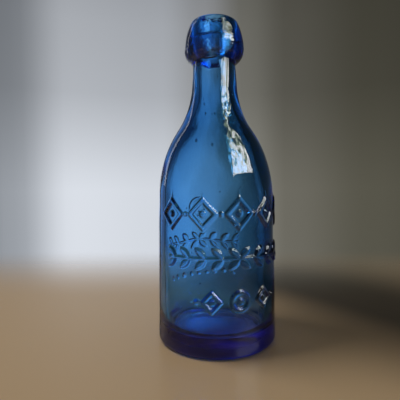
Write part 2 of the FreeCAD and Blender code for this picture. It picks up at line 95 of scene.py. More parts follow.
# The push-up is a cap of a sphere, whose radius is half of (rim radius squared over rise, plus rise).
PUSH_UP_DOME = (FOOT_INNER_RADIUS ** 2 / PUSH_UP + PUSH_UP) / 2
print(f"radii in mm: barrel {BARREL_RADIUS:.1f}, neck {NECK_RADIUS:.1f}, bore {BORE_RADIUS:.1f}")

# %% [markdown]
# A half-section is a walk up the outside and down the inside, in straight and round stretches. Each helper
# gives the points of one stretch as an array of (radius, height), without its last point, so that stretches
# chain.

# %% Stretches of a half-section
HALVINGS = 60


def straight(start, end, count):
    """Points evenly spaced on the line from start to end: start plus a share of the way."""
    share = np.arange(count)[:, None] / count
    return np.array(start) + share * (np.array(end) - np.array(start))


def round_stretch(centre, radius, first, last, count):
    """Points on a circle: centre plus radius times (cosine, sine) of angles in degrees, first to last."""
    angle = np.radians(first + (last - first) * np.arange(count) / count)
    return np.array(centre) + radius * np.stack([np.cos(angle), np.sin(angle)], axis=-1)


def ogee(low, low_lean, turn_height, high, high_lean, counts):
    """A swelling arc and a hollow arc that leave low and reach high with the given leans from upright.

    An arc's chord leans by the mean of its end leans, so the total inset is each rise times the tangent of
    that mean. The lean at the turn is found by halving the range in which the inset fits.
    """
    swell_rise = turn_height - low[1]
    hollow_rise = high[1] - turn_height
    least = max(low_lean, high_lean)
    most = math.pi / 2
    for _ in range(HALVINGS):
        lean = (least + most) / 2
        inset = swell_rise * math.tan((low_lean + lean) / 2) + hollow_rise * math.tan((high_lean + lean) / 2)
        least, most = (lean, most) if inset < low[0] - high[0] else (least, lean)
    swell = swell_rise / (math.sin(lean) - math.sin(low_lean))
    hollow = hollow_rise / (math.sin(lean) - math.sin(high_lean))
    swell_centre = (low[0] - swell * math.cos(low_lean), low[1] - swell * math.sin(low_lean))
    hollow_centre = (high[0] + hollow * math.cos(high_lean), high[1] + hollow * math.sin(high_lean))
    turn, start, end = (math.degrees(value) for value in (lean, low_lean, high_lean))
    return np.vstack([round_stretch(swell_centre, swell, start, turn, counts[0]),
                      round_stretch(hollow_centre, hollow, turn + 180, end + 180, counts[1])])


def graded(*bands):
    """Heights or angles from one band to the next, each band (start, end, step) with its own spacing."""
    return np.concatenate([np.linspace(start, end, max(1, round((end - start) / step)), endpoint=False)
                           for start, end, step in bands])


print("a quarter round in 3 steps:", round_stretch((0, 0), 1, 0, 90, count=3).round(2).tolist())

# %% [markdown]
# The mould's cuts left raised ornament on the barrel: a row of lozenges, a leaf garland and a roundel between
# lozenges. Their heights are worked out as a field over the barrel's wall, so the wall needs close rows and
# columns where they stand and wide ones elsewhere. The ornament's middle is turned a little to the right of
# the viewer.

# %% Where the raised ornament stands
ORNAMENT_TURN = 21.0
LOZENGE_ROW = 72.2
GARLAND_ROW = 50.3
ROUNDEL_ROW = 29.0

# Bands of rows up the barrel, in mm: close where a row of ornament stands.
HEEL_STEP = 3.0
FINE_STEP = 0.45
WIDE_STEP = 1.3
BARREL_BANDS = ((HEEL_ROUNDING, 21.0, HEEL_STEP), (21.0, 36.0, FINE_STEP), (36.0, 43.0, WIDE_STEP),
                (43.0, 57.5, FINE_STEP), (57.5, 63.2, WIDE_STEP), (63.2, BARREL_TOP, FINE_STEP))

# Bands of columns, in degrees from the ornament's middle: the front, a seam, the back and the other seam.
SEAM_HALF = 2.0
FRONT_STEP = 0.79
SEAM_STEP = 0.4
BARE_STEP = 2.4
BACK_STEP = 1.1
BACK_START = 114
BACK_END = 246
COLUMN_BANDS = (
    (-90 + SEAM_HALF, 90 - SEAM_HALF, FRONT_STEP), (90 - SEAM_HALF, 90 + SEAM_HALF, SEAM_STEP),
    (90 + SEAM_HALF, BACK_START, BARE_STEP), (BACK_START, BACK_END, BACK_STEP),
    (BACK_END, 270 - SEAM_HALF, BARE_STEP), (270 - SEAM_HALF, 270 + SEAM_HALF, SEAM_STEP))

barrel_heights = graded(*BARREL_BANDS)
columns = np.radians(ORNAMENT_TURN + graded(*COLUMN_BANDS))
print(f"{len(columns)} columns round the bottle, {len(barrel_heights)} rows up the barrel")

# %% The body's half-section
# The first row beside the axis stands at this angle on its dome, in degrees from level.
POLE_ROW = 89.0
# Heights of the two rows that round the push-up's edge into the foot ring.
FOOT_EDGE_HEIGHTS = (0.22, 0.06)


def draw_outside():
    """Push-up, foot ring, heel, barrel, shoulder, neck and the raw neck end, walked from the axis upwards."""
    cap_edge = FOOT_INNER_RADIUS - FOOT_EDGE_ROUNDING
    cap_lean = math.degrees(math.asin(cap_edge / PUSH_UP_DOME))
    ring_start = (FOOT_INNER_RADIUS + FOOT_EDGE_ROUNDING, 0)
    heel_centre = (BARREL_RADIUS - HEEL_ROUNDING, HEEL_ROUNDING)
    barrel_rise = BARREL_TOP - HEEL_ROUNDING
    barrel_radii = BARREL_RADIUS - BARREL_DRAFT * (barrel_heights - HEEL_ROUNDING) / barrel_rise
    lean = math.atan2(BARREL_DRAFT, barrel_rise)
    neck_lean = math.atan2(NECK_FLARE, LIP_EDGE - NECK_ROOT)
    shoulder = (SHOULDER_RADIUS, BARREL_TOP)
    neck_root = (NECK_ROOT_RADIUS, NECK_ROOT)
    under_lip = (NECK_RADIUS, LIP_EDGE)
    end = NECK_END_ROUNDING
    return np.vstack([
        round_stretch((0, PUSH_UP - PUSH_UP_DOME), PUSH_UP_DOME, POLE_ROW, 90 - cap_lean, count=10),
        straight((cap_edge, FOOT_EDGE_HEIGHTS[0]), (FOOT_INNER_RADIUS, FOOT_EDGE_HEIGHTS[1]), count=1),
        straight((FOOT_INNER_RADIUS, FOOT_EDGE_HEIGHTS[1]), ring_start, count=1),
        straight(ring_start, (heel_centre[0], 0), count=2),
        round_stretch(heel_centre, HEEL_ROUNDING, -90, math.degrees(lean), count=8),
        np.stack([barrel_radii, barrel_heights], axis=-1),
        ogee(shoulder, lean, TURN_HEIGHT, neck_root, neck_lean, counts=(18, 14)),
        straight(neck_root, under_lip, count=7),
        straight(under_lip, (NECK_RADIUS, NECK_END - end), count=5),
        round_stretch((NECK_RADIUS - end, NECK_END - end), end, 0, 90, count=4),
        straight((NECK_RADIUS - end, NECK_END), (BORE_RADIUS + end, NECK_END), count=2),
    ])


def draw_cavity():
    """The bore's rounded end, bore, inner shoulder, wall and domed floor, walked downwards to the axis."""
    floor_top = PUSH_UP + FLOOR_GLASS
    dome = PUSH_UP_DOME + FLOOR_GLASS
    rounding = INNER_HEEL_ROUNDING
    corner_radius = CAVITY_RADIUS - rounding
    corner_height = floor_top - dome + math.sqrt((dome + rounding) ** 2 - corner_radius ** 2)
    corner_lean = math.degrees(math.asin(corner_radius / (dome + rounding)))
    wall_top = (CAVITY_RADIUS, BARREL_TOP)
    bore_root = (BORE_RADIUS, NECK_ROOT)
    end = NECK_END_ROUNDING
    upward = np.vstack([
        round_stretch((0, floor_top - dome), dome, POLE_ROW, 90 - corner_lean, count=8),
        round_stretch((corner_radius, corner_height), rounding, 270 - corner_lean, 360, count=7),
        straight((CAVITY_RADIUS, corner_height), wall_top, count=12),
        ogee(wall_top, 0, TURN_HEIGHT - WALL / 2, bore_root, 0, counts=(12, 12)),
        straight(bore_root, (BORE_RADIUS, NECK_END - end), count=8),
        round_stretch((BORE_RADIUS + end, NECK_END - end), end, 180, 90, count=4),
    ])
    return upward[::-1]


outside = draw_outside()
cavity = draw_cavity()
section = np.vstack([outside, cavity])
print(f"the body's half-section has {len(outside)} points outside and {len(cavity)} inside")

# %% [markdown]
# The ornament is a height field. Each motif is a distance to its outline in millimetres, and a soft step
# turns that distance into glass that rises to full height. The motifs are old, common ones that any mould
# cutter used. Separate raised pieces would have to be joined to the wall, and a field is part of it from the
# start.

# %% One motif at a time
RELIEF_HEIGHT = 1.0
RELIEF_EDGE = 0.9
BOSS = 3.0
ROUNDEL_STROKE = 2.0
STEM_WIDTH = 1.1
LEAF_LENGTH = 7.4
LEAF_WIDTH = 2.9
LEAF_LEAN = math.radians(41.0)
LEAF_PITCH = 8.6


def soft_step(value, start, end):
    """Zero before start and one after end, with a smooth cubic between them."""
    share = np.clip((value - start) / (end - start), 0, 1)
    return share * share * (3 - 2 * share)


def raised(distance):
    """Glass height for a distance outside an outline: full inside, falling to nothing across the edge."""
    return 1 - soft_step(distance, -RELIEF_EDGE / 2, RELIEF_EDGE / 2)


def every(along, pitch, beside):
    """The way along from the nearest of a row's motifs, with so many of them on each side of its middle."""
    return along - pitch * np.clip(np.round(along / pitch), -beside, beside)


def lozenge(along, up, width, height):
    """Distance from a lozenge's outline: the sum of the shares of its half-axes, less one, over its slope."""
    slope = math.hypot(2 / width, 2 / height)
    return (np.abs(along) * 2 / width + np.abs(up) * 2 / height - 1) / slope


def lozenge_frame(along, up, width, height, stroke):
    """Distance from the raised line between a lozenge and a smaller one inside it, and from its boss."""
    inner = width - 2 * stroke
    hollow = lozenge(along, up, inner, height * inner / width)
    frame_line = np.maximum(lozenge(along, up, width, height), -hollow)
    return np.minimum(frame_line, np.hypot(along, up) - BOSS / 2)


def roundel(along, up, diameter):
    """Distance from a ring, which is how far a point lies off its middle line, and from its boss."""
    reach = np.hypot(along, up)
    ring = np.abs(reach - diameter / 2 + ROUNDEL_STROKE / 2) - ROUNDEL_STROKE / 2
    return np.minimum(ring, reach - BOSS / 2)


def leaf(along, up, lean):
    """Distance from a leaf that starts at zero and leans: its half-width is a parabola along its length."""
    forward = along * math.cos(lean) + up * math.sin(lean)
    across = up * math.cos(lean) - along * math.sin(lean)
    share = np.clip(2 * forward / LEAF_LENGTH - 1, -1, 1)
    beyond = np.maximum(np.abs(forward - LEAF_LENGTH / 2) - LEAF_LENGTH / 2, 0)
    return np.abs(across) - LEAF_WIDTH / 2 * (1 - share ** 2) + beyond


def garland(along, up, leaves):
    """Distance from a stem and its pairs of leaves, which point away from the middle on both sides."""
    away = np.abs(along)
    from_root = away - LEAF_PITCH * np.clip(np.floor(away / LEAF_PITCH), 0, leaves - 1)
    root = STEM_WIDTH / 4
    pair = np.minimum(leaf(from_root, up - root, LEAF_LEAN), leaf(from_root, up + root, -LEAF_LEAN))
    reach = (leaves - 1) * LEAF_PITCH + LEAF_LENGTH * math.cos(LEAF_LEAN)
    stem = np.maximum(np.abs(up) - STEM_WIDTH / 2, away - reach)
    return np.minimum(pair, stem)


print(f"half-way down an outline's edge the glass stands {RELIEF_HEIGHT * raised(0.0):.2f} mm high")

# %% The whole ornament
# Lozenges as (width, height, stroke), roundels and beads as diameters, and places along the wall, in mm.
LOZENGE = (16.0, 16.6, 2.8)
LOZENGE_PITCH = 18.8
SIDE_LOZENGE = (11.0, 11.5, 2.2)
SIDE_LOZENGE_PITCH = 14.5
ROUNDEL = 10.8
BACK_ROUNDEL = 14.0
BEAD = 2.2
BACK_BEAD_PITCH = 6.4
LOWER_BEAD_PLACE = 22.5
# Pairs of leaves on each side of a garland's middle.
FRONT_LEAVES = 5
BACK_LEAVES = 4


def ornament(angle, height):
    """Height of the raised glass, as a share: that of the nearest motif at each angle and height."""
    turn = np.degrees(angle) - ORNAMENT_TURN
    front = np.radians((turn + 180) % 360 - 180) * BARREL_RADIUS
    back = np.radians(turn % 360 - 180) * BARREL_RADIUS
    upper = height - LOZENGE_ROW
    middle = height - GARLAND_ROW
    lower = height - ROUNDEL_ROW
    between = np.abs(front) - LOZENGE_PITCH / 2
    motifs = (
        lozenge_frame(every(front, LOZENGE_PITCH, beside=2), upper, *LOZENGE),
        np.hypot(every(between, LOZENGE_PITCH, beside=1), upper) - BEAD / 2,
        garland(front, middle, FRONT_LEAVES),
        roundel(front, lower, ROUNDEL),
        lozenge_frame(np.abs(front) - SIDE_LOZENGE_PITCH, lower, *SIDE_LOZENGE),
        np.hypot(np.abs(front) - LOWER_BEAD_PLACE, lower) - BEAD / 2,
        roundel(back, upper, BACK_ROUNDEL),
        garland(back, middle, BACK_LEAVES),
        np.hypot(every(back, BACK_BEAD_PITCH, beside=4), lower) - BEAD / 2,
    )
    return raised(np.minimum.reduce(motifs))


covered = ornament(columns[None, :], barrel_heights[:, None]).mean()
print(f"raised ornament stands {RELIEF_HEIGHT:.1f} mm proud on {covered:.0%} of the barrel's grid")

# %% [markdown]
# Hand-blown glass is never quite round. The outside sags by up to two tenths of a millimetre as it leaves the
# mould, the inside follows the breath and not the mould, and the mould's two halves leave a fine seam on each
# side. A few slow sine waves give the unevenness, so it is the same in every run.

# %% Sag, uneven glass and mould seams
# Each wave: its depth in mm, its swings in a turn, the mm of height that shift it by a radian, and its start.
SAG_WAVES = ((0.09, 3, 9.0, 0.0), (0.06, 5, -5.5, 1.3), (0.035, 9, 3.4, 0.4))
INNER_WAVES = ((0.45, 1, 40.0, 2.1), (0.28, 2, -21.0, 0.0), (0.14, 4, 8.0, 0.0), (0.07, 7, -4.2, 0.0))
# Heights in mm from where to where each kind of unevenness sets in or dies down.
SAG_START = (2.0, 14.0)
INNER_START = (10.0, 20.0)
INNER_CALM = (110.0, 142.0)
INNER_CALM_SHARE = 0.75
SEAM_START = (1.0, 4.0)
SEAM_END = (141.0, 147.0)
SEAM_HEIGHT = 0.25
SEAM_WIDTH = 0.5


def waves(table, angle, height):
    """Sum of waves: depth times the sine of (swings times angle, plus height over shift, plus start)."""
    return sum(depth * np.sin(swings * angle + height / shift + start)
               for depth, swings, shift, start in table)


def sag(angle, height):
    """Outer unevenness in mm: three slow waves that run round and up the bottle."""
    return waves(SAG_WAVES, angle, height) * soft_step(height, *SAG_START)


def uneven(angle, height):
    """Inner unevenness in mm: slower, deeper waves that fade out at the floor and calm down up the bore."""
    calm = 1 - INNER_CALM_SHARE * soft_step(height, *INNER_CALM)
    return waves(INNER_WAVES, angle, height) * soft_step(height, *INNER_START) * calm


def seam(angle, height):
    """Two fine ridges, bell curves, where the mould's halves met, a quarter turn from the ornament."""
    away = (np.degrees(angle) - ORNAMENT_TURN) % 180 - 90
    ridge = np.exp(-(np.radians(away) * BARREL_RADIUS / SEAM_WIDTH) ** 2)
    return SEAM_HEIGHT * ridge * soft_step(height, *SEAM_START) * (1 - soft_step(height, *SEAM_END))


def neck_skin(angle, height):
    """Radius of the neck's outside from the hollow curve up: a straight taper and its sag."""
    taper = np.clip((LIP_EDGE - height) / (LIP_EDGE - NECK_ROOT), 0, 1)
    return NECK_RADIUS + NECK_FLARE * taper + sag(angle, height)


outer_swing = np.ptp(sag(columns, GARLAND_ROW))
inner_swing = np.ptp(uneven(columns, GARLAND_ROW))
print(f"at the garland the outside swings by {outer_swing:.2f} mm and the inside by {inner_swing:.2f} mm")

# %% [markdown]
# A grid of points becomes a mesh by joining each point to its neighbours. The grid closes on itself round the
# bottle. A body that starts and ends on the axis gets two fans of triangles there, and a ring closes on
# itself.

# %% From a grid of points to a mesh
NO_TRIANGLES = np.zeros((0, 3), int)


def turned(radii, heights, angles):
    """A grid of points in mm: radius times the sine and minus the cosine of the angle, and the height."""
    return np.stack([radii * np.sin(angles), -radii * np.cos(angles), heights + 0 * angles], axis=-1)


def skin_faces(rows, count, poles):
    """Corner numbers of the four-sided faces of a grid, and of the fans at its poles where it has them."""
    here = np.arange(rows * count).reshape(rows, count)
    beside = np.roll(here, -1, axis=1)
    if not poles:
        ring = np.stack([here, beside, np.roll(beside, -1, 0), np.roll(here, -1, 0)], -1)
        return ring.reshape(-1, 4), NO_TRIANGLES
    sheet = np.stack([here[:-1], beside[:-1], beside[1:], here[1:]], -1)
    first = np.full(count, rows * count)
    first_fan = np.stack([first, beside[0], here[0]], -1)
    last_fan = np.stack([here[-1], beside[-1], first + 1], -1)
    return sheet.reshape(-1, 4), np.vstack([first_fan, last_fan])


def make_piece(name, points, quads, triangles):
    """A smooth-shaded mesh object from points in mm and the corner numbers of its faces."""
    mesh = bpy.data.meshes.new(name)
    corners = np.concatenate([quads.ravel(), triangles.ravel()])
    starts = np.concatenate([np.arange(len(quads)) * 4, len(quads) * 4 + np.arange(len(triangles)) * 3])
    mesh.vertices.add(len(points))
    mesh.vertices.foreach_set("co", (points * MM).ravel())
    mesh.loops.add(len(corners))
    mesh.loops.foreach_set("vertex_index", corners)
    mesh.polygons.add(len(starts))
    mesh.polygons.foreach_set("loop_start", starts)
    mesh.update(calc_edges=True)
    mesh.validate()
    mesh.polygons.foreach_set("use_smooth", np.ones(len(starts), bool))
    piece = bpy.data.objects.new(name, mesh)
    bpy.context.scene.collection.objects.link(piece)
    print(f"{name}: {len(points)} points, {2 * len(quads) + len(triangles)} triangles")
    return piece


body_quads, body_fans = skin_faces(len(section), len(columns), poles=True)
print(f"the body's grid needs {len(body_quads)} four-sided faces and {len(body_fans)} triangles at its poles")

# %% The blown body's wall
# Heights between which ornament may stand, and radii over which unevenness fades out towards the axis.
ORNAMENT_BAND = (15.0, 86.0)
AXIS_CALM = (4.0, 7.0)

angles = columns[None, :]
radii = section[:, :1]
heights = section[:, 1:]
is_outside = (np.arange(len(section)) < len(outside))[:, None]
on_barrel = is_outside & (heights > ORNAMENT_BAND[0]) & (heights < ORNAMENT_BAND[1])
bulge = np.where(is_outside, sag(angles, heights) + seam(angles, heights), uneven(angles, heights))
bulge = bulge * soft_step(radii, *AXIS_CALM)
bulge = bulge + np.where(on_barrel, RELIEF_HEIGHT * ornament(angles, heights), 0)
body_grid = turned(radii + bulge, heights, angles)
body_poles = np.array([[0, 0, PUSH_UP], [0, 0, PUSH_UP + FLOOR_GLASS]])
body_points = np.vstack([body_grid.reshape(-1, 3), body_poles])
print(f"the wall has {len(body_points)} points")

# %% [markdown]
# Old glass holds seeds, small bubbles that never rose out of the melt. Blowing drew out those in the shoulder
# and the neck, so they are longer than those in the barrel. Each is a hollow egg inside the wall. Its faces
# are turned towards its own middle, because the glass is outside it. A bump in the finish would show them
# only as dents, so they are real hollows, as coarse as they need to be to show.

# %% Seeds in the glass
SEED_COUNT = 52
SEED_RINGS = 5
SEED_SPOKES = 8
SEED_HEIGHTS = (14.0, 150.0)
SEED_HALF_WIDTH = (0.25, 0.6)
SEED_STRETCH = (1.0, 2.6)
SEED_DRAWN = (BARREL_TOP - 10, NECK_ROOT)
SEED_OFFSET = (-0.4, 0.6)
CHANCE_START = 5
chance = np.random.default_rng(CHANCE_START)


def egg_points():
    """A round egg of radius one: the sine and cosine of a polar angle, turned, from its top to its bottom."""
    polar = (np.arange(SEED_RINGS)[:, None] + 0.5) / SEED_RINGS * math.pi
    spokes = np.arange(SEED_SPOKES)[None, :] / SEED_SPOKES * 2 * math.pi
    grid = turned(np.sin(polar), np.cos(polar), spokes)
    return np.vstack([grid.reshape(-1, 3), [[0, 0, 1], [0, 0, -1]]])


def make_seeds():
    """Eggs in the wall's middle: each is stretched upright, turned to its angle and moved to its place."""
    height = chance.uniform(*SEED_HEIGHTS, SEED_COUNT)
    angle = chance.uniform(0, 2 * math.pi, SEED_COUNT)
    half_width = chance.uniform(*SEED_HALF_WIDTH, SEED_COUNT)
    stretch = SEED_STRETCH[0] + (SEED_STRETCH[1] - SEED_STRETCH[0]) * soft_step(height, *SEED_DRAWN)
    rising = outside[np.argmax(outside[:, 0]):]
    inner = cavity[::-1]
    outer_radius = np.interp(height, rising[:, 1], rising[:, 0])
    inner_radius = np.interp(height, inner[:, 1], inner[:, 0])
    place = (outer_radius + inner_radius) / 2 + chance.uniform(*SEED_OFFSET, SEED_COUNT)
    egg = egg_points()
    across = half_width[:, None] * egg[None, :, 0]
    outward = place[:, None] - half_width[:, None] * egg[None, :, 1]
    up = height[:, None] + (half_width * stretch)[:, None] * egg[None, :, 2]
    bearing = angle[:, None] + across / place[:, None]
    return turned(outward, up, bearing).reshape(-1, 3), len(egg)


seed_points, egg_size = make_seeds()
print(f"{SEED_COUNT} seeds of {egg_size} points each")

# %% The blown body as one mesh
egg_quads, egg_fans = skin_faces(SEED_RINGS, SEED_SPOKES, poles=True)
first_points = len(body_points) + egg_size * np.arange(SEED_COUNT)[:, None, None]
glass_quads = np.vstack([body_quads, (first_points + egg_quads).reshape(-1, 4)])
glass_fans = np.vstack([body_fans, (first_points + egg_fans).reshape(-1, 3)])
body = make_piece("blown_body", np.vstack([body_points, seed_points]), glass_quads, glass_fans)
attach(body, "root")
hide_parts("bottle_body")

# %% [markdown]
# The lip is a ring of glass. Its lower edge was never trimmed: it lies over the neck in a ragged line with a
# few tongues where the hot glass ran. Its socket lies a hair inside the neck's glass, as two gathers that
# fused, so that light passes from one piece into the other almost as if there were no joint.

# %% The lip's ragged edge and tooled blob
# Each edge wave: its depth in mm, its swings in a turn and its start.
EDGE_WAVES = ((0.25, 2, 0.6), (0.15, 5, 0.0))
# Each tongue: its angle in degrees, its length in mm and its width in degrees.
TONGUES = ((-10.5, 0.8, 34.0), (-75.0, 1.6, 22.0), (47.0, 0.6, 26.0), (118.0, 2.4, 24.0), (215.0, 0.7, 40.0),
           (262.0, 3.0, 22.0))
TONGUE_BLUNTNESS = 6
# The first tooling wave is the same at every height.
TOOLING_WAVES = ((0.22, 1, math.inf, 0.9), (0.10, 3, 6.0, -0.5), (0.05, 6, 2.6, 0.0))
TOOLING_RISE = 5.0


def lip_edge(angle):
    """Height of the lip's lower edge: level, with two waves, less a rounded tongue at each of its angles."""
    edge = LIP_EDGE
    for depth, swings, start in EDGE_WAVES:
        edge = edge + depth * np.sin(swings * angle + start)
    for place, length, width in TONGUES:
        away = (np.degrees(angle) - place + 180) % 360 - 180
        edge = edge - length * np.exp(-np.abs(2 * away / width) ** TONGUE_BLUNTNESS)
    return edge


def tooling(angle, height):
    """Unevenness of the tooled blob in mm: a lopsided swing and shallow marks of the turning tool."""
    return waves(TOOLING_WAVES, angle, height) * soft_step(height, LIP_EDGE, LIP_EDGE + TOOLING_RISE)


LIP_COLUMNS = 240
lip_angles = np.radians(np.arange(LIP_COLUMNS) * 360 / LIP_COLUMNS)[None, :]
edge_heights = lip_edge(lip_angles)
print(f"the lip's edge lies between {edge_heights.min():.1f} and {edge_heights.max():.1f} mm up")

# %% The arcs of the lip's half-section
blob_radius = (LIP_BELLY ** 2 / (BELLY_RADIUS - NECK_RADIUS) + BELLY_RADIUS - NECK_RADIUS) / 2
blob_centre = (BELLY_RADIUS - blob_radius, LIP_EDGE + LIP_BELLY)
rim_centre = (BELLY_RADIUS - LIP_TAPER - LIP_RIM_ROUNDING, LIP_TOP - LIP_RIM_ROUNDING)
side_rise = rim_centre[1] - blob_centre[1]
side_radius = (LIP_TAPER ** 2 + side_rise ** 2) / (2 * LIP_TAPER) + LIP_RIM_ROUNDING
side_centre = (BELLY_RADIUS - side_radius, blob_centre[1])
rim_facing = math.degrees(math.atan2(side_rise, rim_centre[0] - side_centre[0]))
print(f"the blob's arcs have radii of {blob_radius:.1f} mm below its belly and {side_radius:.1f} mm above")

# %% The lip's underside
FUSED = 0.05
UNDER_ROWS = 22
UNDER_CROWDING = 1.15
TONGUE_GLASS = 0.15
TONGUE_RISE = 0.9
TONGUE_BEAD = 0.06
TONGUE_BEAD_PLACE = 0.8
TONGUE_BEAD_WIDTH = 0.5
FILLET = 0.25


def filleted(first, second):
    """The larger of two radii with a fillet where they cross: a soft maximum less its bulge of log 2."""
    larger = FILLET * np.logaddexp(first / FILLET, second / FILLET)
    return larger - FILLET * math.log(2) * np.exp(-np.abs(first - second) / FILLET)


def lip_underside(angle, edge):
    """From the edge up to the belly: a thin tongue over the neck, with a bead on it, filleted to the blob.

    The blob's radius is its centre's plus the root of its own radius squared less the drop squared.
    """
    climb = (np.arange(UNDER_ROWS)[:, None] / UNDER_ROWS) ** UNDER_CROWDING
    height = edge + climb * (blob_centre[1] - edge)
    drop = np.clip((blob_centre[1] - height) / blob_radius, 0, 1)
    blob_reach = blob_centre[0] + blob_radius * np.sqrt(1 - drop ** 2)
    above_edge = height - edge
    thickness = (TONGUE_GLASS + FUSED) * soft_step(above_edge, 0, TONGUE_RISE)
    bead = TONGUE_BEAD * np.exp(-((above_edge - TONGUE_BEAD_PLACE) / TONGUE_BEAD_WIDTH) ** 2)
    bead = bead * soft_step(above_edge, 0, TONGUE_BEAD_WIDTH)
    radius = filleted(blob_reach, neck_skin(angle, height) - FUSED + thickness + bead)
    radius[0] = neck_skin(angle[0], edge[0]) - FUSED
    return radius, height


under_radii, under_heights = lip_underside(lip_angles, edge_heights)
print(f"the underside has {len(under_radii)} rows and swells to {under_radii.max():.1f} mm")

# %% The lip's side, rim, mouth and socket
BORE_END_GAP = 0.1
BORE_CALM = 1.0
SOCKET_ROWS = 12


def lip_top(angle):
    """From the belly over the rim and down the bore to the neck's raw end, with tooling outside the bore."""
    mouth = (BORE_RADIUS + MOUTH_ROUNDING, LIP_TOP - MOUTH_ROUNDING)
    bore_end = (BORE_RADIUS, NECK_END + BORE_END_GAP)
    seat_start = (BORE_RADIUS + NECK_END_ROUNDING, NECK_END - FUSED)
    seat_end = (NECK_RADIUS - NECK_END_ROUNDING, NECK_END - FUSED)
    line = np.vstack([
        round_stretch(side_centre, side_radius, 0, rim_facing, count=14),
        round_stretch(rim_centre, LIP_RIM_ROUNDING, rim_facing, 90, count=9),
        straight((rim_centre[0], LIP_TOP), (mouth[0], LIP_TOP), count=3),
        round_stretch(mouth, MOUTH_ROUNDING, 90, 180, count=6),
        straight((BORE_RADIUS, mouth[1]), bore_end, count=6),
        straight(bore_end, seat_start, count=2),
        straight(seat_start, seat_end, count=2),
    ])
    marked = soft_step(line[:, :1], BORE_RADIUS + BORE_CALM, NECK_RADIUS)
    return line[:, :1] + tooling(angle, line[:, 1:]) * marked, line[:, 1:] + 0 * angle


def lip_socket(angle, edge):
    """Round the neck's raw end and down to the edge, a hair inside the neck's glass all the way."""
    corner_centre = (NECK_RADIUS - NECK_END_ROUNDING, NECK_END - NECK_END_ROUNDING)
    corner = round_stretch(corner_centre, NECK_END_ROUNDING - FUSED, 90, 0, count=4)
    down = np.arange(SOCKET_ROWS)[:, None] / SOCKET_ROWS
    height = NECK_END - NECK_END_ROUNDING + down * (edge - NECK_END + NECK_END_ROUNDING)
    radius = neck_skin(angle, height) - FUSED
    corner_radius = corner[:, :1] + sag(angle, corner[:, 1:])
    return np.vstack([corner_radius, radius]), np.vstack([corner[:, 1:] + 0 * angle, height])


top_radii, top_heights = lip_top(lip_angles)
socket_radii, socket_heights = lip_socket(lip_angles, edge_heights)
print(f"the top has {len(top_radii)} rows, and the socket {len(socket_radii)}")

# %% The applied lip
lip_radii = np.vstack([under_radii, top_radii, socket_radii])
lip_heights = np.vstack([under_heights, top_heights, socket_heights])
lip_grid = turned(lip_radii, lip_heights, lip_angles)
lip_quads, lip_fans = skin_faces(len(lip_radii), LIP_COLUMNS, poles=False)
lip = make_piece("tooled_lip", lip_grid.reshape(-1, 3), lip_quads, lip_fans)
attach(lip, "root")
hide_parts("applied_lip")

# %% [markdown]
# Cobalt glass is clear glass with a little cobalt oxide melted in. It takes red first, then green, and hardly
# any blue, so thin walls are sky blue and thick ones indigo. A painted colour would be the same everywhere.
# Absorption in the volume gives that change by itself.

# %% Colours and nodes
WHITE = (1, 1, 1, 1)
TIMES = {"operation": "MULTIPLY"}
TIMES_PLUS = {"operation": "MULTIPLY_ADD"}
LARGER = {"operation": "MAXIMUM"}
LENGTH = {"operation": "LENGTH"}
GLASS_IOR = 1.52
GLASS_ROUGHNESS = 0.015
GLASS_SKIN_COLOUR = "#F5F9FF"
GLASS_COLOUR = "#45D0F7"
GLASS_DENSITY = 250.0


def linear(code):
    """An sRGB hex colour as linear red, green, blue and an alpha of one."""
    share = np.array([int(code[place:place + 2], 16) for place in (1, 3, 5)]) / 255
    flat = np.where(share <= 0.04045, share / 12.92, ((share + 0.055) / 1.055) ** 2.4)
    return (*flat.tolist(), 1.0)


def add_node(tree, kind, settings=None, **inputs):
    """One node with its settings. Its inputs, by name or by number as in0, are values or nodes' outputs."""
    made = tree.nodes.new(kind)
    for key, value in (settings or {}).items():
        setattr(made, key, value)
    for key, value in inputs.items():
        by_number = key[:2] == "in" and key[2:].isdigit()
        socket = made.inputs[int(key[2:]) if by_number else key.replace("_", " ")]
        if isinstance(value, bpy.types.NodeSocket):
            tree.links.new(value, socket)
        else:
            socket.default_value = value
    return made


def set_stops(ramp, stops):
    """A colour ramp's stops, each a share of the way and an sRGB hex colour."""
    elements = ramp.color_ramp.elements
    while len(elements) < len(stops):
        elements.new(1.0)
    for element, (share, code) in zip(elements, stops):
        element.position = share
        element.color = linear(code)


def bare_material(name):
    """A new material with an empty node tree."""
    material = bpy.data.materials.new(name)
    material.use_nodes = True
    material.node_tree.nodes.clear()
    return material, material.node_tree


passed = np.exp(-GLASS_DENSITY * (1 - np.array(linear(GLASS_COLOUR)[:3])) * WALL * MM)
print("the barrel's wall lets through, of red, green and blue:", passed.round(2).tolist())

# %% Cobalt glass
# Real drawn lines are finer. These are as wide and deep as they need to be to show.
DRAWN_WIDTH = 2.2
DRAWN_LENGTH = 40.0
DRAWN_DEPTH = 0.045
DRAWN_START = (86.0, 118.0)


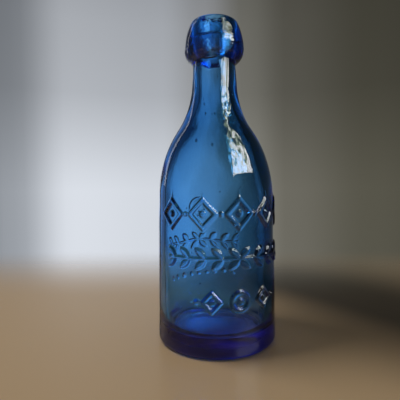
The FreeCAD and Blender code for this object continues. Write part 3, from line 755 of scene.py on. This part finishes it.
def cobalt_glass(name, ripple_mm, ripple_depth, skin_mm, skin_depth):
    """Cobalt-blue soda-lime glass, fire-polished: sharp highlights that break up where the surface is wavy.

    Its bump is a sum of heights in mm: slow ripples of the mould or the tool, a fine skin, and upright lines
    where the glass was drawn out from the shoulder up.
    """
    material, tree = bare_material(name)
    place = add_node(tree, "ShaderNodeTexCoord").outputs["Object"]
    ripple = add_node(tree, "ShaderNodeTexNoise", Vector=place, Scale=1 / (ripple_mm * MM), Detail=1.0)
    skin = add_node(tree, "ShaderNodeTexNoise", Vector=place, Scale=1 / (skin_mm * MM), Detail=2.0)
    long_place = add_node(tree, "ShaderNodeMapping", Vector=place, Scale=(1, 1, DRAWN_WIDTH / DRAWN_LENGTH))
    drawn = add_node(tree, "ShaderNodeTexNoise", Vector=long_place.outputs["Vector"],
                     Scale=1 / (DRAWN_WIDTH * MM), Detail=1.0)
    height = add_node(tree, "ShaderNodeSeparateXYZ", Vector=place).outputs["Z"]
    drawn_depth = add_node(tree, "ShaderNodeMapRange", Value=height, From_Min=DRAWN_START[0] * MM,
                           From_Max=DRAWN_START[1] * MM, To_Max=DRAWN_DEPTH)
    slow = add_node(tree, "ShaderNodeMath", TIMES, in0=ripple.outputs["Fac"], in1=ripple_depth)
    fine = add_node(tree, "ShaderNodeMath", TIMES_PLUS, in0=skin.outputs["Fac"], in1=skin_depth,
                    in2=slow.outputs["Value"])
    lines = add_node(tree, "ShaderNodeMath", TIMES_PLUS, in0=drawn.outputs["Fac"],
                     in1=drawn_depth.outputs["Result"], in2=fine.outputs["Value"])
    bump = add_node(tree, "ShaderNodeBump", Height=lines.outputs["Value"], Strength=1.0, Distance=MM)
    glass = add_node(tree, "ShaderNodeBsdfPrincipled", Base_Color=linear(GLASS_SKIN_COLOUR),
                     Roughness=GLASS_ROUGHNESS, IOR=GLASS_IOR, Transmission_Weight=1.0,
                     Normal=bump.outputs["Normal"])
    tint = add_node(tree, "ShaderNodeVolumeAbsorption", Color=linear(GLASS_COLOUR), Density=GLASS_DENSITY)
    add_node(tree, "ShaderNodeOutputMaterial", Surface=glass.outputs["BSDF"], Volume=tint.outputs["Volume"])
    return material


# Glass chilled by the mould's iron: broad, shallow ripples and almost no skin, so the barrel shines evenly.
blown_glass = cobalt_glass("mould_blown_cobalt_glass", ripple_mm=7.0, ripple_depth=0.05, skin_mm=1.6,
                           skin_depth=0.006)
# Glass turned under a hand tool: a rough skin, so the highlight on the lip is mottled.
tooled_glass = cobalt_glass("hand_tooled_cobalt_glass", ripple_mm=5.0, ripple_depth=0.05, skin_mm=1.8,
                            skin_depth=0.12)
print("glass ready:", blown_glass.name, tooled_glass.name)

# %% [markdown]
# A century of shelves has rubbed the foot matt. The wear sits only where the glass touched wood, so it is a
# change of roughness by height and radius, and the shape is left alone.

# %% Wear under the foot
WORN_ROUGHNESS = 0.3
WORN_HEIGHT = (1.6, 2.4)
WORN_RADIUS = (BARREL_RADIUS - HEEL_ROUNDING - 0.5, BARREL_RADIUS - HEEL_ROUNDING + 1.0)


def wear_the_foot(material):
    """Frost where height and radius are both small: the foot ring and the lower part of the push-up."""
    tree = material.node_tree
    glass = tree.nodes["Principled BSDF"]
    place = add_node(tree, "ShaderNodeTexCoord").outputs["Object"]
    parts = add_node(tree, "ShaderNodeSeparateXYZ", Vector=place)
    level = add_node(tree, "ShaderNodeCombineXYZ", X=parts.outputs["X"], Y=parts.outputs["Y"])
    reach = add_node(tree, "ShaderNodeVectorMath", LENGTH, Vector=level.outputs["Vector"])
    high = add_node(tree, "ShaderNodeMapRange", Value=parts.outputs["Z"], From_Min=WORN_HEIGHT[0] * MM,
                    From_Max=WORN_HEIGHT[1] * MM)
    wide = add_node(tree, "ShaderNodeMapRange", Value=reach.outputs["Value"], From_Min=WORN_RADIUS[0] * MM,
                    From_Max=WORN_RADIUS[1] * MM)
    clean = add_node(tree, "ShaderNodeMath", LARGER, in0=high.outputs["Result"], in1=wide.outputs["Result"])
    rough = add_node(tree, "ShaderNodeMapRange", Value=clean.outputs["Value"], To_Min=WORN_ROUGHNESS,
                     To_Max=GLASS_ROUGHNESS)
    tree.links.new(rough.outputs["Result"], glass.inputs["Roughness"])


wear_the_foot(blown_glass)
body.data.materials.append(blown_glass)
lip.data.materials.append(tooled_glass)
print("glass on:", body.name, lip.name)

# %% [markdown]
# The bottle stands on a pale satin floor. Glass shows what lies beside it, so a soft shade, painted on the
# floor at the right and behind, darkens the barrel's right side, as a dim room would. Real glass also gathers
# daylight under its foot, along more paths than a render follows. In their place the floor under the bottle,
# which hides it, is painted white and glows a little cool white: painted light. The blue of the base is the
# glass's own.

# %% The floor
# Reaches in metres.
FLOOR_REACH = 0.6
FLOOR_FIRST_RING = 0.01
FLOOR_RINGS = 24
FLOOR_SPOKES = 96


def make_floor():
    """A flat disc: each point is a radius times the cosine and the sine of its angle, at height zero."""
    reach = np.linspace(FLOOR_FIRST_RING, FLOOR_REACH, FLOOR_RINGS)[:, None] / MM
    turn = np.linspace(0, 2 * math.pi, FLOOR_SPOKES, endpoint=False)[None, :]
    grid = np.stack([reach * np.cos(turn), reach * np.sin(turn), 0 * reach * turn], axis=-1)
    points = np.vstack([grid.reshape(-1, 3), [[0, 0, 0]]])
    here = np.arange(FLOOR_RINGS * FLOOR_SPOKES).reshape(FLOOR_RINGS, FLOOR_SPOKES)
    beside = np.roll(here, -1, axis=1)
    quads = np.stack([here[:-1], here[1:], beside[1:], beside[:-1]], -1).reshape(-1, 4)
    fan = np.stack([np.full(FLOOR_SPOKES, len(points) - 1), here[0], beside[0]], -1)
    return make_piece("floor", points, quads, fan)


floor = make_floor()

# %% The floor's paint
# Each pair is where a change sets in and where it is complete, in metres.
SOFTLY = {"interpolation_type": "SMOOTHSTEP"}
FLOOR_COLOUR = "#C9AA82"
FLOOR_ROUGHNESS = 0.3
FLOOR_FADE = (0.22, 0.50)
FLOOR_SWEEP = (0.06, 0.28)
# Painted shade: a dark floor colour at the right and behind, which stands for a dim room.
SHADE_COLOUR = "#3D342A"
SHADE_TURN = 55.0
SHADE_START = (0.02, 0.11)
SHADE_END = (0.14, 0.32)
# Painted light: the floor under the foot is painted white and glows, for light that glass gathers there.
PAINTED_LIGHT_PATCH_COLOUR = "#F4F6FF"
PAINTED_LIGHT_PATCH_EDGE = (0.024, 0.030)
GLOW_COLOUR = "#E4ECFF"
GLOW_LIGHT = 0.30
GLOW_PLACE = (-0.016, 0.020, 0)
GLOW_REACH = (0.006, 0.036)


def satin_floor():
    """Pale satin paint: an even colour and a blurred sheen.

    It has a painted shade at the right and a patch of painted light under the bottle, white and glowing.
    It fades into the wall far away.
    """
    material, tree = bare_material("pale_satin_floor")
    place = add_node(tree, "ShaderNodeTexCoord").outputs["Object"]
    away = add_node(tree, "ShaderNodeVectorMath", LENGTH, Vector=place)
    behind = add_node(tree, "ShaderNodeSeparateXYZ", Vector=place)
    aside = add_node(tree, "ShaderNodeVectorRotate", {"rotation_type": "Z_AXIS"}, Vector=place,
                     Angle=math.radians(SHADE_TURN))
    across = add_node(tree, "ShaderNodeSeparateXYZ", Vector=aside.outputs["Vector"])
    far = add_node(tree, "ShaderNodeMapRange", SOFTLY, Value=away.outputs["Value"], From_Min=FLOOR_FADE[0],
                   From_Max=FLOOR_FADE[1])
    sweep = add_node(tree, "ShaderNodeMapRange", SOFTLY, Value=behind.outputs["Y"], From_Min=FLOOR_SWEEP[0],
                     From_Max=FLOOR_SWEEP[1])
    # Painted shade: the floor darkens across a line turned by SHADE_TURN and turns pale again further away.
    dim = add_node(tree, "ShaderNodeMapRange", SOFTLY, Value=across.outputs["Y"], From_Min=SHADE_START[0],
                   From_Max=SHADE_START[1])
    near = add_node(tree, "ShaderNodeMapRange", SOFTLY, Value=away.outputs["Value"], From_Min=SHADE_END[0],
                    From_Max=SHADE_END[1], To_Min=1.0, To_Max=0.0)
    shade = add_node(tree, "ShaderNodeMath", TIMES, in0=dim.outputs["Result"], in1=near.outputs["Result"])
    # Painted light: white paint under the foot, and further down a glow of cool white light on it.
    patch = add_node(tree, "ShaderNodeMapRange", SOFTLY, Value=away.outputs["Value"], From_Min=PAINTED_LIGHT_PATCH_EDGE[0],
                     From_Max=PAINTED_LIGHT_PATCH_EDGE[1], To_Min=1.0, To_Max=0.0)
    open_floor = add_node(tree, "ShaderNodeMixRGB", Fac=shade.outputs["Value"], Color1=linear(FLOOR_COLOUR),
                          Color2=linear(SHADE_COLOUR))
    colour = add_node(tree, "ShaderNodeMixRGB", Fac=patch.outputs["Result"],
                      Color1=open_floor.outputs["Color"], Color2=linear(PAINTED_LIGHT_PATCH_COLOUR))
    from_glow = add_node(tree, "ShaderNodeVectorMath", {"operation": "DISTANCE"}, in0=place, in1=GLOW_PLACE)
    light = add_node(tree, "ShaderNodeMapRange", SOFTLY, Value=from_glow.outputs["Value"],
                     From_Min=GLOW_REACH[0], From_Max=GLOW_REACH[1], To_Min=GLOW_LIGHT, To_Max=0.0)
    glow = add_node(tree, "ShaderNodeMath", TIMES, in0=light.outputs["Result"], in1=patch.outputs["Result"])
    paint = add_node(tree, "ShaderNodeBsdfPrincipled", Base_Color=colour.outputs["Color"],
                     Roughness=FLOOR_ROUGHNESS, Emission_Color=linear(GLOW_COLOUR),
                     Emission_Strength=glow.outputs["Value"])
    gone = add_node(tree, "ShaderNodeBsdfTransparent")
    fade = add_node(tree, "ShaderNodeMath", LARGER, in0=far.outputs["Result"], in1=sweep.outputs["Result"])
    mixed = add_node(tree, "ShaderNodeMixShader", Fac=fade.outputs["Value"], in1=paint.outputs["BSDF"],
                     in2=gone.outputs["BSDF"])
    add_node(tree, "ShaderNodeOutputMaterial", Surface=mixed.outputs["Shader"])
    return material


floor.data.materials.append(satin_floor())
print(f"the floor is painted {FLOOR_COLOUR}, and the patch under the foot glows at {GLOW_LIGHT}")

# %% [markdown]
# Round the floor runs a softly lit wall. Clear glass shows what stands behind it, so the wall is brightest
# behind the bottle's left half and dims to the right, upwards and towards the viewer, as in a room with one
# window. The dim sides give the glass its dark rims. The wall is the world's own background, so it needs no
# mesh.

# %% The wall all round
# Each stop is an angle from straight behind the bottle, positive to the viewer's right, and the grey there.
WALL_STOPS = (
    (-180, "#747576"), (-120, "#6A6C70"), (-65, "#5C5F63"), (-50, "#7D8187"), (-38, "#6A6E73"),
    (-31, "#9A9FA6"), (-23, "#DADFE7"), (-9, "#D3D8E0"), (-2, "#B9BCC0"), (5, "#8A8981"), (12, "#6B6960"),
    (24, "#57554A"), (38, "#413F37"), (70, "#393730"), (120, "#525150"), (180, "#747576"))
# Upwards, each stop is the sine of an angle above the floor, and the grey that the wall is dimmed with there.
RISE_STOPS = ((0.0, "#FFFFFF"), (0.05, "#F8F8F8"), (0.26, "#CECECE"), (0.42, "#C4C4C4"), (0.80, "#7C7C7C"))
FILL_LIGHT = 0.16

world = bpy.data.worlds.new("soft_studio")
bpy.context.scene.world = world
world.use_nodes = True
sky = world.node_tree
sky.nodes.clear()
way = add_node(sky, "ShaderNodeTexCoord").outputs["Generated"]
ways = add_node(sky, "ShaderNodeSeparateXYZ", Vector=way)
bearing = add_node(sky, "ShaderNodeMath", {"operation": "ARCTAN2"}, in0=ways.outputs["X"],
                   in1=ways.outputs["Y"])
round_share = add_node(sky, "ShaderNodeMapRange", Value=bearing.outputs["Value"], From_Min=-math.pi,
                       From_Max=math.pi)
wall_grey = add_node(sky, "ShaderNodeValToRGB", Fac=round_share.outputs["Result"])
wall_grey.color_ramp.interpolation = "EASE"
set_stops(wall_grey, [((angle + 180) / 360, code) for angle, code in WALL_STOPS])
upper_dim = add_node(sky, "ShaderNodeValToRGB", Fac=ways.outputs["Z"])
set_stops(upper_dim, RISE_STOPS)
ray = add_node(sky, "ShaderNodeLightPath")
looks = add_node(sky, "ShaderNodeMath", LARGER, in0=ray.outputs["Is Camera Ray"],
                 in1=ray.outputs["Is Glossy Ray"])
looks_through = add_node(sky, "ShaderNodeMath", LARGER, in0=looks.outputs["Value"],
                         in1=ray.outputs["Is Transmission Ray"])
fill = add_node(sky, "ShaderNodeBackground", Color=WHITE, Strength=FILL_LIGHT)
wall = add_node(sky, "ShaderNodeBackground", Color=wall_grey.outputs["Color"],
                Strength=upper_dim.outputs["Color"])
choice = add_node(sky, "ShaderNodeMixShader", Fac=looks_through.outputs["Value"],
                  in1=fill.outputs["Background"], in2=wall.outputs["Background"])
add_node(sky, "ShaderNodeOutputWorld", Surface=choice.outputs["Shader"])
print(f"the wall has {len(WALL_STOPS)} stops, and matt things get a fill of {FILL_LIGHT}")

# %% [markdown]
# Three sheets of light stand out of the picture. The window at the right front is there for its mirror image,
# the long highlight that runs down the lip, the neck and the shoulder, with foliage above and sky below. The
# narrow strip at the left back draws a fine line of light along the left edge. The soft lamp at the left
# lights the floor. Sheets are used, and not lamps, because glass shows the shape of what lights it.

# %% Light for the sheets
WINDOW_RADIANCE = 10.5
STRIP_RADIANCE = 1.3
LAMP_RADIANCE = 7.0
# Patches of foliage outside the window, in mm, and their stops from deep shade to open sky.
FOLIAGE_PATCH = 75.0
FOLIAGE_STOPS = ((0.38, "#262E1E"), (0.47, "#868F66"), (0.54, "#DDE4D6"), (0.62, "#FFFFFF"))
# Heights in metres between which the foliage goes from paler, by the first shift, to darker, by the second.
WINDOW_SPAN = (0.30, 0.70)
FOLIAGE_SHIFT = (0.15, -0.07)


def plain_light(name, radiance):
    """Even white light of one strength, like a sheet of cloth in front of a lamp."""
    material, tree = bare_material(name)
    shine = add_node(tree, "ShaderNodeEmission", Color=WHITE, Strength=radiance)
    add_node(tree, "ShaderNodeOutputMaterial", Surface=shine.outputs["Emission"])
    return material


def window_light():
    """Daylight past foliage: soft patches from shade to white, which get paler towards the window's foot."""
    material = plain_light("window_light", WINDOW_RADIANCE)
    tree = material.node_tree
    place = add_node(tree, "ShaderNodeTexCoord").outputs["Object"]
    foliage = add_node(tree, "ShaderNodeTexNoise", Vector=place, Scale=1 / (FOLIAGE_PATCH * MM), Detail=2.0)
    height = add_node(tree, "ShaderNodeSeparateXYZ", Vector=place).outputs["Z"]
    paler = add_node(tree, "ShaderNodeMapRange", Value=height, From_Min=WINDOW_SPAN[0],
                     From_Max=WINDOW_SPAN[1], To_Min=FOLIAGE_SHIFT[0], To_Max=FOLIAGE_SHIFT[1])
    patch = add_node(tree, "ShaderNodeMath", {"operation": "ADD"}, in0=foliage.outputs["Fac"],
                     in1=paler.outputs["Result"])
    colour = add_node(tree, "ShaderNodeValToRGB", Fac=patch.outputs["Value"])
    set_stops(colour, FOLIAGE_STOPS)
    tree.links.new(colour.outputs["Color"], tree.nodes["Emission"].inputs["Color"])
    return material


print(f"radiance: window {WINDOW_RADIANCE}, strip {STRIP_RADIANCE}, lamp {LAMP_RADIANCE}")

# %% Sheets of light
# Corners as (angle from the viewer's side to the right, angle above the floor), in degrees, all at one
# distance in metres from a point in the bottle.
WINDOW_CORNERS = ((36, 18), (80, 17), (54, 70), (84, 50))
STRIP_CORNERS = ((-119, 4), (-126, 4), (-119, 70), (-126, 70))
LAMP_CORNERS = ((-65, 42), (-115, 42), (-65, 72), (-115, 72))
SHEET_AWAY = 0.7
SHEET_CENTRE = (0, 0, 0.1)
SHEET_ROWS = 6


def make_sheet(name, sheet_corners):
    """A sheet between four corners: each point is the mean of the corners, weighed by its two shares."""
    turn, rise = np.radians(np.array(sheet_corners, float)).T
    corners = np.stack([np.sin(turn) * np.cos(rise), -np.cos(turn) * np.cos(rise), np.sin(rise)], -1)
    along, up = np.meshgrid(np.linspace(0, 1, SHEET_ROWS), np.linspace(0, 1, SHEET_ROWS))
    weights = np.stack([(1 - along) * (1 - up), along * (1 - up), (1 - along) * up, along * up], -1)
    points = (weights @ corners * SHEET_AWAY + np.array(SHEET_CENTRE)) / MM
    here = np.arange(SHEET_ROWS ** 2).reshape(SHEET_ROWS, SHEET_ROWS)
    quads = np.stack([here[:-1, :-1], here[1:, :-1], here[1:, 1:], here[:-1, 1:]], -1).reshape(-1, 4)
    sheet = make_piece(name, points.reshape(-1, 3), quads, NO_TRIANGLES)
    sheet.visible_camera = False
    return sheet


window = make_sheet("window_lamp", WINDOW_CORNERS)
window.visible_diffuse = False
window.data.materials.append(window_light())
strip = make_sheet("strip_lamp", STRIP_CORNERS)
strip.visible_diffuse = False
strip.visible_transmission = False
strip.data.materials.append(plain_light("strip_light", STRIP_RADIANCE))
lamp = make_sheet("soft_lamp", LAMP_CORNERS)
lamp.visible_transmission = False
lamp.visible_glossy = False
lamp.data.materials.append(plain_light("soft_light", LAMP_RADIANCE))

# %% [markdown]
# The viewer is close, with a wide lens, about level with the barrel's top. That is why the heel shows as a
# deep curve and the lip is seen from below. A long lens from afar would flatten both.

# %% Camera
# The focal length in pixels of the picture's width, the place in metres and the turns in degrees.
IMAGE_WIDTH = 400
FOCAL_PIXELS = 343.8
SENSOR_WIDTH = 36.0
NEAREST = 0.01
CAMERA_PLACE = Vector((0, -0.19875, 0.08436))
CAMERA_PITCH = 1.78
CAMERA_YAW = 2.57
CAMERA_ROLL = -0.67

camera_data = bpy.data.cameras.new("viewer")
camera_data.sensor_width = SENSOR_WIDTH
camera_data.lens = FOCAL_PIXELS * SENSOR_WIDTH / IMAGE_WIDTH
camera_data.clip_start = NEAREST
camera = bpy.data.objects.new("viewer", camera_data)
bpy.context.scene.collection.objects.link(camera)
camera.matrix_world = (Matrix.Translation(CAMERA_PLACE) @ Matrix.Rotation(math.radians(CAMERA_YAW), 4, "Z")
                       @ Matrix.Rotation(math.radians(90 - CAMERA_PITCH), 4, "X")
                       @ Matrix.Rotation(math.radians(CAMERA_ROLL), 4, "Z"))
bpy.context.scene.camera = camera
bpy.context.scene.view_settings.view_transform = "Standard"
print(f"the lens has {camera_data.lens:.1f} mm and sees {math.degrees(camera_data.angle):.0f} degrees")
